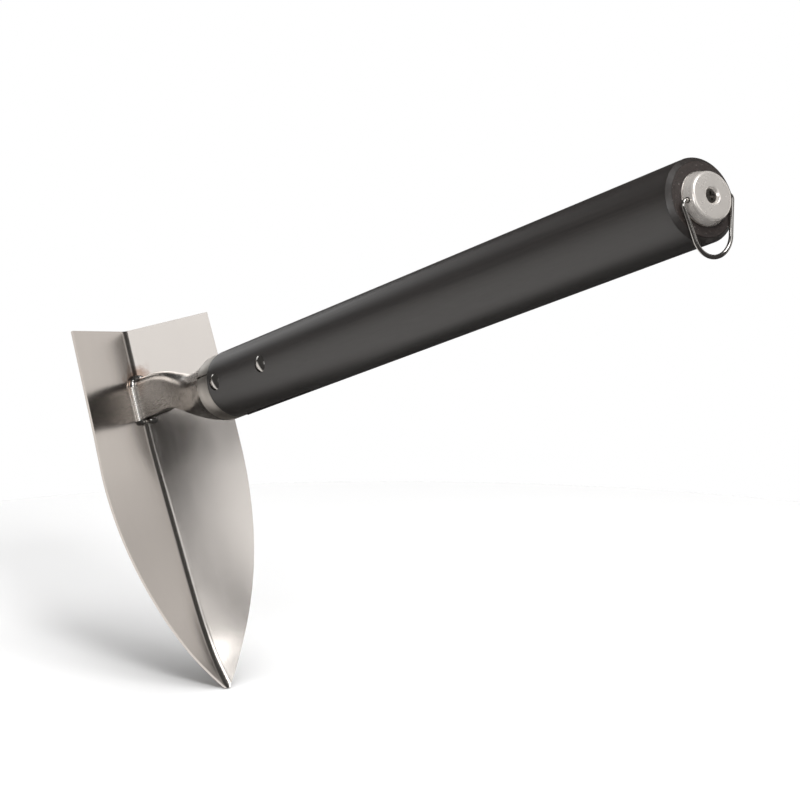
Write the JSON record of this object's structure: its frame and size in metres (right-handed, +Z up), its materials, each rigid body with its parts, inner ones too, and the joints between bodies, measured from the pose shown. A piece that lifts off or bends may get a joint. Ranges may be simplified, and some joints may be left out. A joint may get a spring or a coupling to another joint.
{
  "type": "hand weeder",
  "caption": "Short-handled hand weeder with a folded, pointed steel blade set square to a dark wooden handle with a hanging loop.",
  "frame": {"origin": "on the floor under the blade's point, centred in the overall length and width of the tool in its stance", "axes": "+Z up; +X from the blade towards the butt of the handle, which rises at 21.7 degrees; +Y across the blade"},
  "size_m": [0.3726, 0.0732, 0.2605],
  "materials": {
    "blade_steel": "satin polished stainless sheet",
    "weld_metal": "bright polished bead",
    "neck_steel": "smooth satin stainless",
    "tang_steel": "dull rolled plate",
    "ferrule_steel": "pale satin band",
    "stained_wood": "black stain under a satin lacquer",
    "rivet_steel": "polished dome",
    "cap_steel": "satin spun cup",
    "screw_steel": "dark plated",
    "loop_wire": "drawn spring wire"
  },
  "bodies": {
    "tool": {"blade": "blade_steel", "neck_weld": "weld_metal", "neck": "neck_steel", "tang": "tang_steel", "ferrule": "ferrule_steel", "handle": "stained_wood", "front_rivet": "rivet_steel", "rear_rivet": "rivet_steel", "cap_washer": "cap_steel", "end_cap": "cap_steel", "cap_screw": "screw_steel"},
    "loop": {"hanging_loop": "loop_wire"}
  },
  "joints": [
    {"name": "loop_swing", "type": "hinge", "parent": "tool", "child": "loop", "pos_m": [0.18035, 0, 0.2473], "axis": [0, -1, 0], "range_deg": [0, 196.1]}
  ]
}
